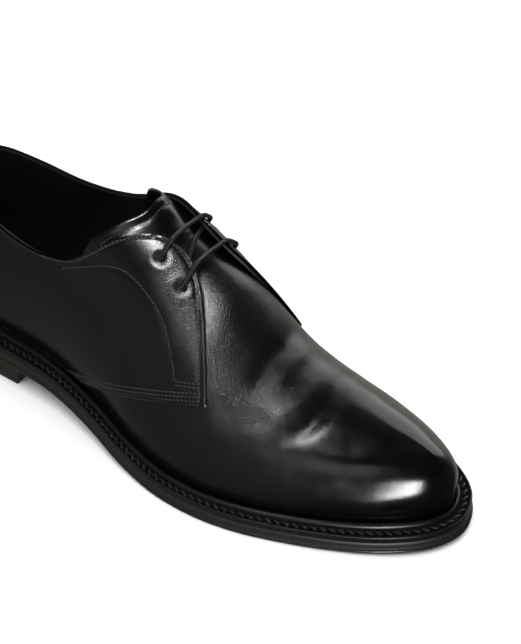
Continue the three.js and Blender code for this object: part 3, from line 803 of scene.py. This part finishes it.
def punch(mesh, centre, normal, radius):
    """Cuts a round hole with a clean rim in a sheet."""
    def around(point):
        off = point - centre
        return off - normal * off.dot(normal)

    near = [f for f in mesh.faces if (f.calc_center_median() - centre).length < 2.2 * radius]
    edges = {e for f in near for e in f.edges}
    bmesh.ops.subdivide_edges(mesh, edges=list(edges), cuts=1, use_grid_fill=True)
    near = [f for f in mesh.faces if (f.calc_center_median() - centre).length < 3 * radius]
    gone = [f for f in near if around(f.calc_center_median()).length < radius]
    rim = {v for f in gone for v in f.verts} & {v for f in near if f not in gone for v in f.verts}
    bmesh.ops.delete(mesh, geom=gone, context="FACES")
    for vertex in rim:
        off = around(vertex.co)
        vertex.co += off.normalized() * radius - off


# The loop and up of each eyelet.
eyelet_spots = [(loop_at(along, inner), up)
                for along, up in zip(eyelets["along"], eyelets["up"]) for inner in (False, True)]


def eyelet_pull(points):
    """Leather that rises round each punched eyelet and sinks at its rim."""
    total = np.zeros(len(points))
    for loop, up in eyelet_spots:
        away = np.linalg.norm(points - skin(loop, up, QUARTER_TOP), axis=1)
        total += 0.14 * band(away - 4.6, 1.6)
        total -= 0.75 * band(away, 2.5)
    return total


def seam_relief(points):
    """The dip that each row of stitches pulls into the quarters."""
    total = np.zeros(len(points))
    for line, _ in seam_lines:
        nearest = np.full(len(points), 1e9)
        for mark in line[::4]:
            nearest = np.minimum(nearest, ((points - mark) ** 2).sum(1))
        total = np.minimum(total, -0.28 * np.exp(-nearest / 0.8 ** 2))
    return total


def make_quarters():
    """Both quarters, one panel round the heel, with the facings' punched eyelets."""
    side = spaced((0, 1), (4.8, 0.6), 1.05, QUARTER_RUN)
    round_heel = np.concatenate([-side[::-1], side[1:]])
    height = spaced((4.2, 0.6), (4.2, 0.6), 1.05, QUARTER_RISE)

    def place(u, v):
        t = read_line(round_heel, u)
        q = read_line(height, v)
        along, up = quarter_place(np.abs(t), q, t < 0)
        loop = loop_at(along, t < 0)
        base = skin(loop, up, QUARTER_TOP)
        edges = ((1 - np.abs(t)) * QUARTER_RUN, (1 - q) * QUARTER_RISE, q * QUARTER_RISE)
        relief = eyelet_pull(base) + seam_relief(base) + 0.5 * fold(np.minimum.reduce(edges))
        return base + last_normal(loop, up) * relief[:, None]

    mesh = grid(len(round_heel) - 1, len(height) - 1, place)
    for loop, up in eyelet_spots:
        centre = Vector(skin(loop, up, QUARTER_TOP - EYELET_STEP))
        punch(mesh, centre, Vector(last_normal(loop, up)), EYELET_RADIUS)
    turn_out(mesh)
    piece = finish_piece("quarters", mesh, calf, ("upper",), flex_mask)
    thicken(piece, LEATHER, LEATHER_ROUNDING)


def make_lining():
    """The lining behind the quarters, cut back a little from their edges."""
    def place(u, v):
        t = 2 * u - 1
        along, up = quarter_place(np.abs(t) * 0.996, 0.005 + 0.985 * v, t < 0)
        return skin(loop_at(along, t < 0), up, QUARTER_TOP - LEATHER - LINING_GAP)

    mesh = grid(260, 50, place)
    turn_out(mesh)
    piece = finish_piece("lining", mesh, lining_calf, ("upper",))
    thicken(piece, LINING, LINING_ROUNDING)


def sole_plate(name, layers, columns, across, look, replaces, lip=0.0):
    """A closed plate from rings of (inset, height above the sole's underside), lowest first.
    With a lip, the faces up to that height take the second look, and the tread the third."""
    insets = [layer[0] for layer in layers]
    heights = np.array([layer[1] for layer in layers], float)

    def inset_at(loop, k):
        values = np.array([x(loop) if callable(x) else np.full_like(loop, x) for x in insets])
        return values[k, np.arange(len(loop))]

    def side(u, v):
        loop = u * LOOP_END
        k = np.round(v * (len(layers) - 1)).astype(int)
        return over_edge(loop, inset_at(loop, k), heights[k])

    def cap(k):
        def place(u, v):
            where = u * TOE
            index = np.full(len(u), k)
            out_x, out_y = edge(where, inset_at(where, index))[:2]
            in_x, in_y = edge(LOOP_END - where, inset_at(LOOP_END - where, index))[:2]
            x, y = out_x + (in_x - out_x) * v, out_y + (in_y - out_y) * v
            return np.stack([x, y, lift(x) + heights[k]], -1)
        return place

    parts = [grid(2 * columns, len(layers) - 1, side)]
    parts += [grid(columns, across, cap(k)) for k in (0, len(layers) - 1)]
    mesh = face_out(join(parts))
    for face in mesh.faces if lip else ():
        middle = face.calc_center_median()
        if face.normal.z < -0.9:
            face.material_index = 2
        elif middle.z - lift(middle.x) < lip:
            face.material_index = 1
    return finish_piece(name, mesh, look, replaces)


def make_insole():
    """The insole board, its filling and the sock, with a rounded upper rim."""
    def rim(extra):
        return lambda loop: ring(ring_welt, loop) + INSOLE_INSET + extra

    low = SOLE_THICKNESS + GAP
    high = low + INSOLE_THICKNESS
    sole_plate("insole_and_sock", [
        (rim(0.0), low),
        (rim(0.0), high - 1.0),
        (rim(0.15), high - 0.4),
        (rim(0.6), high),
    ], 150, 24, sock_leather, ("insole",))


def make_outsole():
    """The outsole: a rounded lip along the floor side, a step, and a plain satin side."""
    sole_plate("sole_and_lip", [
        (0.9, 0.0),
        (0.35, 0.15),
        (0.05, 0.55),
        (0.0, 0.9),
        (0.05, 1.35),
        (0.35, 1.7),
        (0.85, 1.85),
        (0.95, 2.1),
        (0.9, 4.0),
        (0.95, SOLE_THICKNESS - 0.15),
        (1.2, SOLE_THICKNESS),
    ], 300, 40, [sole_rubber, sole_lip, tread_rubber], ("outsole",), 1.95)


def make_welt():
    """The welt: a square lip outside, a groove for the stitching, and a smooth bead that
    stands against the upper. Its section goes round by (share of the welt's width, inset,
    height)."""
    low = SOLE_THICKNESS + GAP
    section = [
        (0, 1.0, low),
        (0, 0.85, low + 0.3),
        (0, 0.85, WELT_TOP - 0.45),
        (0, 1.0, WELT_TOP - 0.1),
        (0, 1.35, WELT_TOP),
        (0, 1.75, WELT_TOP - 0.1),
        (0, 2.1, WELT_TOP - 1.1),
        (0, 2.5, WELT_TOP - 1.65),
        (1, -4.0, WELT_TOP - 1.7),
        (1, -3.5, WELT_TOP - 1.0),
        (1, -3.25, WELT_TOP - 0.2),
        (1, -2.95, WELT_TOP + 0.75),
        (1, -2.4, WELT_TOP + 1.3),
        (1, -1.75, WELT_TOP + 1.35),
        (1, -1.25, WELT_TOP + 0.9),
        (1, -1.0, WELT_TOP + 0.2),
        (1, -0.85, WELT_TOP - 0.1),
        (1, 2.6, WELT_TOP - 0.05),
        (1, 2.6, low),
    ]
    inner_edge, insets, heights = np.array(section).T
    count = len(section)

    def place(u, v):
        loop = u * LOOP_END
        k = np.round(v * count).astype(int) % count
        inset = insets[k] + inner_edge[k] * ring(ring_welt, loop)
        return over_edge(loop, inset, heights[k])

    mesh = face_out(grid(700, count, place))
    finish_piece("storm_welt", mesh, welt_leather, ("welt",))


def walk(points):
    """The distance along a line of points, at each of them."""
    return np.concatenate([[0], np.cumsum(np.linalg.norm(np.diff(points, axis=0), axis=1))])


def read_path(points, travelled, at):
    """The points at some distances along a line."""
    return np.stack([np.interp(at, travelled, column) for column in points.T], -1)


def beads_along(points, normals, pitch, length, radius, slant=0.0, sink=0.0, sides=6, rings=5,
                shift=0.0):
    """Small rounded stitches laid end to end along a line, each one a bmesh sphere stretched
    to its length, lying on the surface and turned by slant."""
    travelled = walk(points)
    count = max(2, round(travelled[-1] / pitch))
    at = (np.arange(count) + 0.5 + shift)[:count - math.ceil(shift)] * travelled[-1] / count
    spots = read_path(points, travelled, at)
    ahead = read_path(points, travelled, at + 0.5)
    ups = read_path(normals, travelled, at)
    mesh = bmesh.new()
    for spot, front, up in zip(spots, ahead, ups):
        forward = Vector(front - spot).normalized()
        upward = Vector(up).normalized()
        beside = upward.cross(forward).normalized()
        turned = forward * math.cos(slant) + beside * math.sin(slant)
        across = upward.cross(turned).normalized()
        made = bmesh.ops.create_uvsphere(mesh, u_segments=sides, v_segments=rings, radius=1.0)
        for vertex in made["verts"]:
            x, y, z = vertex.co
            vertex.co = (Vector(spot) - upward * sink + turned * z * length / 2
                         + across * x * radius + upward * y * radius)
    return mesh


def make_welt_stitches():
    """The braided row of thick waxed thread in the welt's groove, all round the shoe."""
    loop = np.linspace(0, LOOP_END, 2400)
    lip, bead = 1.75, 3.2
    inset = lip + 0.5 * (ring(ring_welt, loop) - bead - lip)
    points = over_edge(loop, inset, WELT_TOP - 0.55)
    upwards = np.tile([0.0, 0.0, 1.0], (len(loop), 1))
    stitches = beads_along(points, upwards, WELT_STITCH, 4.2, 0.72, WELT_SLANT,
                           sides=10, rings=8)
    finish_piece("welt_stitches", stitches, thread, weld=0.0001)
    # Between the stitches, small black beads show the shade in the needle holes: painted shade.
    holes = beads_along(points, upwards, WELT_STITCH, 1.9, 0.85, WELT_SLANT, sink=0.1, shift=0.5)
    finish_piece("welt_needle_holes", holes, painted_hole_shade, weld=0.0001)


def make_heel():
    """The heel: a block of stacked lifts, a top piece below a thin groove, and its breast.
    Levels are height above the floor and inset from the sole's edge. Back and front count
    the steps round the block and across its breast, and corner is what is cut off inside."""
    levels = [(0.0, 2.0), (0.0, 1.5), (0.3, 1.25), (4.6, 1.1), (4.85, 1.45), (5.1, 1.45),
              (5.35, 1.1), (8.0, 1.05), (100.0, 1.0)]
    back, front = 220, 60
    corner, slant, bow = 9.0, 1.8, 1.2
    outer_end = float(np.interp(BREAST / SOLE_LENGTH, station_along, stations))

    def ring_of(height, inset):
        # Loop values below zero are the inner side, so the walk starts at the inner breast.
        x, y = edge(np.linspace(-outer_end, outer_end, back + 1) % LOOP_END, inset)[:2]
        slanted = BREAST - slant * (1 - min(height, HEEL_LIFT) / HEEL_LIFT)
        notch_from = y[0] - corner

        def reach(at):
            return slanted - corner * np.clip((at - notch_from) / corner, 0, 1) ** 2

        x = np.minimum(x, reach(y))
        t = np.linspace(0, 1, front + 1)[1:-1]
        across = y[-1] + (y[0] - y[-1]) * t
        x = np.concatenate([x, reach(across) - bow * np.sin(np.pi * t)])
        y = np.concatenate([y, across])
        return np.stack([x, y, np.minimum(height, lift(x) - GAP)], -1)

    rings = np.array([ring_of(*level) for level in levels])
    count = rings.shape[1]

    def side(u, v):
        k = np.round(v * (len(levels) - 1)).astype(int)
        return rings[k, np.round(u * count).astype(int) % count]

    def cap(level):
        line = rings[level]

        def place(u, v):
            i = np.round(u * back / 2).astype(int)
            inner, outer = line[i], line[back - i]
            flat = outer + (inner - outer) * v[:, None]
            breast = line[(back + np.round(v * front).astype(int)) % count]
            straight = line[back] + (line[0] - line[back]) * v[:, None]
            spot = flat + (breast - straight) * ((1 - u) ** 8)[:, None]
            height = levels[level][0]
            spot[:, 2] = np.minimum(height, lift(spot[:, 0]) - GAP)
            return spot
        return place

    walls = grid(count, len(levels) - 1, side)
    caps = [grid(back // 2, front, cap(k)) for k in (0, len(levels) - 1)]
    mesh = face_out(join([walls] + caps))
    for face in mesh.faces:
        middle = face.calc_center_median()
        if face.normal.z < -0.8:
            face.material_index = 2
        elif face.normal.x > 0.6 and middle.z >= 0.3:
            face.material_index = 1
    finish_piece("heel_block", mesh, [sole_rubber, breast_leather, tread_rubber],
                 ("heel",))


def along_path(points, count):
    """Evenly spaced points on a smooth curve through a list of points."""
    points = np.array(points, float)
    padded = np.vstack([2 * points[0] - points[1], points, 2 * points[-1] - points[-2]])
    fine = [spline(*padded[k - 1:k + 3], t) for k in range(1, len(padded) - 2)
            for t in np.linspace(0, 1, 24, endpoint=False)]
    fine = np.array(fine + [points[-1]])
    travelled = walk(fine)
    return read_path(fine, travelled, np.linspace(0, travelled[-1], count))


def tube(path, radius, sides):
    """A round cord along a path, closed at both ends, with a UV map along and around it."""
    ahead = np.gradient(path, axis=0)
    ahead /= np.linalg.norm(ahead, axis=1, keepdims=True)
    side = np.zeros_like(path)
    turn = np.cross(ahead[0], [0.0, 0.0, 1.0])
    for k, direction in enumerate(ahead):
        turn = turn - direction * (turn @ direction)
        turn /= np.linalg.norm(turn)
        side[k] = turn
    over = np.cross(ahead, side)
    last = len(path) - 1

    def place(u, v):
        k = np.round(u * last).astype(int)
        end = np.minimum(np.minimum(k, last - k) / 2.0, 1.0)
        thin = radius * np.sqrt(np.clip(1 - (1 - end) ** 2, 0, 1))[:, None]
        angle = (2 * np.pi * v)[:, None]
        return path[k] + thin * (np.cos(angle) * side[k] + np.sin(angle) * over[k])

    return face_out(grid(last, sides, place))


def make_laces():
    """The lace: straight across each pair of eyelets, with one strand crossing below."""
    high, low = [dict(along=a, up=u) for a, u in zip(eyelets["along"], eyelets["up"])]
    under = -LINING - 0.35 - LACE_RADIUS
    over = QUARTER_TOP + 0.15 + LACE_RADIUS

    def at(eyelet, inner, up, offset):
        return skin(loop_at(eyelet["along"], inner), up, offset)

    def stand(eyelet, inner):
        return [
            at(eyelet, inner, eyelet["up"] - 0.02, under),
            at(eyelet, inner, eyelet["up"], 0.0),
            at(eyelet, inner, eyelet["up"] + 0.008, over),
            at(eyelet, inner, eyelet["up"] + 0.04, over + 0.25),
            at(eyelet, inner, BAR_EDGE, over + 0.1),
        ]

    def bar(eyelet):
        rising, falling = stand(eyelet, True), stand(eyelet, False)[::-1]
        crest = [rising[-1] + (falling[0] - rising[-1]) * t + [0, 0, BAR_CROWN]
                 for t in (1 / 3, 2 / 3)]
        return rising + crest + falling

    crossing = []
    for t in (0.2, 0.4, 0.6, 0.8):
        along = low["along"] + t * (high["along"] - low["along"])
        up = 1 - abs(2 * t - 1) * (1 - low["up"])
        crossing.append(skin(loop_at(along, t > 0.5), up, under))
    path = along_path(bar(low) + crossing + bar(high), 700)
    finish_piece("waxed_lace", tube(path, LACE_RADIUS, 16), lace_cord, ("laces",))


def surface_line(inner, spots, offset, count):
    """Points and outward directions along a line of (along, up) places on one side."""
    travelled = walk(spots * [SOLE_LENGTH, INSTEP_HEIGHT])
    at = np.linspace(0, travelled[-1], count)
    along, up = (curve_of(travelled, column, at) for column in spots.T)
    loop = loop_at(along, inner)
    return skin(loop, up, offset), last_normal(loop, up)


# Rows of stitches on each quarter, as (along, up) places: the curved row that holds the
# eyelets' reinforcement, the two bars at its foot, and two pairs above the low edge.
stitch_rows = {
    "reinforcement": [(0.352, 0.470), (0.383, 0.524), (0.416, 0.584), (0.442, 0.622),
                      (0.460, 0.638), (0.479, 0.642), (0.502, 0.636), (0.524, 0.625),
                      (0.544, 0.602), (0.560, 0.566), (0.579, 0.509), (0.589, 0.462)],
    "bar_high": [(0.589, 0.460), (0.609, 0.493), (0.631, 0.527)],
    "bar_low": [(0.591, 0.449), (0.610, 0.480), (0.632, 0.514)],
    "upper_pair_high": [(0.340, 0.030), (0.368, 0.058), (0.407, 0.118), (0.445, 0.178),
                        (0.505, 0.276), (0.569, 0.382), (0.636, 0.499)],
    "upper_pair_low": [(0.360, 0.035), (0.389, 0.080), (0.430, 0.138), (0.470, 0.202),
                       (0.514, 0.274), (0.570, 0.368), (0.636, 0.485)],
    "lower_pair_high": [(0.396, 0.070), (0.438, 0.141), (0.493, 0.227), (0.553, 0.324),
                        (0.638, 0.469)],
    "lower_pair_low": [(0.402, 0.068), (0.445, 0.140), (0.500, 0.227), (0.556, 0.319),
                       (0.639, 0.457)],
}


def quarter_row(inner, spots, count):
    """Places along a line over a quarter. Spots are millimetres in from its front edge, and
    millimetres down from its collar."""
    spots = np.array(spots, float)
    at = np.linspace(0, len(spots) - 1, count)
    ahead, down = (np.interp(at, np.arange(len(spots)), column) for column in spots.T)
    sides = np.full(count, inner)
    return np.stack(quarter_place(1 - ahead / QUARTER_RUN, 1 - down / QUARTER_RISE, sides), -1)


def quarter_rows(inner):
    """Every row of fine stitching on a quarter: its own rows, then one down the front edge
    and round its corner, a second one along the corner, and one that follows the collar."""
    rows = [np.array(row) for row in stitch_rows.values()]
    rows.append(quarter_row(inner, [(2.9, 83.0), (2.9, 5.0), (4.6, 3.2), (7.0, 2.8),
                                    (60.0, 2.8)], 140))
    rows.append(quarter_row(inner, [(9.0, 5.2), (60.0, 5.2)], 60))
    rows.append(quarter_row(inner, [(60.0, 2.8), (195.9, 2.8)], 120))
    return rows


seam_lines = [surface_line(inner, row, QUARTER_TOP, 400)
              for inner in (False, True) for row in quarter_rows(inner)]


def make_row_pieces(name, lines):
    """The stitches of some rows as one piece, and small black beads between them as painted shade
    in the needle holes.
    """
    stitches, holes = [], []
    for points, normals in lines:
        stitches.append(beads_along(points, normals, STITCH, STITCH_LENGTH, THREAD_RADIUS,
                                    sink=0.08))
        holes.append(beads_along(points, normals, STITCH, HOLE_LENGTH, HOLE_RADIUS, sink=0.32,
                                 shift=0.5))
    finish_piece(name + "_stitches", join(stitches), seam_thread, weld=0.0001)
    finish_piece(name + "_needle_holes", join(holes), painted_hole_shade, weld=0.0001)


def make_tongue_stitches():
    """The row along the tongue's free edge."""
    across = np.linspace(-1, 1, 300)
    up = 1 - np.abs(across) * 0.44
    away = np.full_like(up, TONGUE_SEAM)
    loop = vamp_loop(up, across > 0, away)
    points = skin(loop, up, vamp_offset(loop, up, away) + 0.1)
    make_row_pieces("tongue", [(points, last_normal(loop, up))])


make_vamp()
make_quarters()
make_lining()
make_insole()
make_outsole()
make_welt()
make_welt_stitches()
make_heel()
make_laces()
make_row_pieces("seam", seam_lines)
make_tongue_stitches()

# The camera looks from the photograph's side of the shoe, from the front and above.
CAMERA_PLACE = Vector((0.3896, -0.4622, 0.5644))
CAMERA_AIM = Vector((-0.0070, 0.0738, 0.0))
CAMERA_LENS = 96.77
SENSOR = 36.0


def make_camera():
    """The photograph's own camera, at its place and angle."""
    lens = bpy.data.cameras.new("camera")
    lens.lens = CAMERA_LENS
    lens.sensor_width = SENSOR
    lens.clip_start = 0.05
    lens.clip_end = 20.0
    camera = to_scene("camera", lens)
    camera.location = CAMERA_PLACE
    camera.rotation_euler = (CAMERA_AIM - CAMERA_PLACE).to_track_quat("-Z", "Y").to_euler()
    bpy.context.scene.camera = camera


def make_floor():
    """A plain pale floor that runs past the view on every side."""
    mesh = bmesh.new()
    bmesh.ops.create_grid(mesh, x_segments=8, y_segments=8, size=3.0)
    data = to_data("floor", mesh)
    made, _, shader = material("matt_pale_floor")
    shader.inputs["Base Color"].default_value = linear("#f7f7f7")
    shader.inputs["Roughness"].default_value = 0.9
    shader.inputs["Specular IOR Level"].default_value = 0.0
    data.materials.append(made)
    floor = to_scene("floor", data)
    # The leather mirrors the world's glow in its place, and the low window shines past it.
    floor.visible_glossy = False
    floor.visible_shadow = False


def make_light(name, aim, turn, rise, away, size, brightness, in_gloss=True, in_matt=True,
               spread=180.0):
    """A rectangular soft light, seen from aim at turn and rise in degrees, away metres off.
    Brightness is what a mirror would show of it, and spread is the angle it shines into."""
    lamp = bpy.data.lights.new(name, "AREA")
    lamp.shape = "RECTANGLE"
    lamp.size, lamp.size_y = size
    half = math.radians(spread) / 2
    # A narrower spread packs the same power into fewer directions.
    packed = math.tan(half) / (math.tan(half) - half) if spread < 180 else 1.0
    lamp.energy = brightness * math.pi * size[0] * size[1] / packed
    lamp.spread = 2 * half
    light = to_scene(name, lamp)
    turn, rise = math.radians(turn), math.radians(rise)
    way = Vector((math.cos(rise) * math.cos(turn), math.cos(rise) * math.sin(turn),
                  math.sin(rise)))
    light.location = Vector(aim) + way * away
    light.rotation_euler = (-way).to_track_quat("-Z", "Y").to_euler()
    light.visible_glossy = in_gloss
    light.visible_diffuse = in_matt
    light.visible_camera = False


def make_world():
    """A dark studio with a faint glow level with the shoe and below it, where the leather
    sees the pale floor: brighter behind the shoe, and almost none ahead of it."""
    world = bpy.data.worlds.new("studio")
    world.use_nodes = True
    tree = world.node_tree
    way = add(tree, "ShaderNodeTexCoord").outputs["Generated"]
    parts = add(tree, "ShaderNodeSeparateXYZ", None, Vector=way).outputs
    glow = ramp(tree, parts["Z"], -0.50, 0.15, 0.14, 0.26)
    above = ramp(tree, parts["Z"], 0.15, 0.55, 1.0, 0.12)
    ahead = ramp(tree, parts["X"], 0.0, 0.45, 1.0, 0.12)
    behind = ramp(tree, parts["Y"], -0.3, 0.5, 1.0, 2.4)
    for share in (above, ahead, behind):
        glow = calc(tree, "MULTIPLY", glow, share)
    back = tree.nodes["Background"]
    tree.links.new(glow, back.inputs["Strength"])
    back.inputs["Color"].default_value = linear("#f0f4e8")
    bpy.context.scene.world = world


make_camera()
make_floor()
make_world()
# The lights stand where the photo's highlights lead back to, seen from the toe and facings.
TOE_SPOT = (0.126, -0.012, 0.045)
FACING_SPOT = (0.018, -0.012, 0.075)
make_light("floor_fill", (0.0, 0.0, 0.0), -60, 84, 2.0, (3.4, 3.4), 2.9, in_gloss=False)
make_light("toe_window", TOE_SPOT, -52, 2, 1.3, (0.24, 0.66), 24.0, in_matt=False)
make_light("back_softbox", TOE_SPOT, 98, 30, 1.3, (1.15, 1.05), 1.5)
make_light("key_softbox", FACING_SPOT, -78, 63, 0.25, (0.115, 0.10), 52.0, in_matt=False,
           spread=26.0)
make_light("side_softbox", FACING_SPOT, -69, 32, 1.4, (0.34, 0.50), 1.15)
bpy.context.scene.view_settings.view_transform = "Standard"
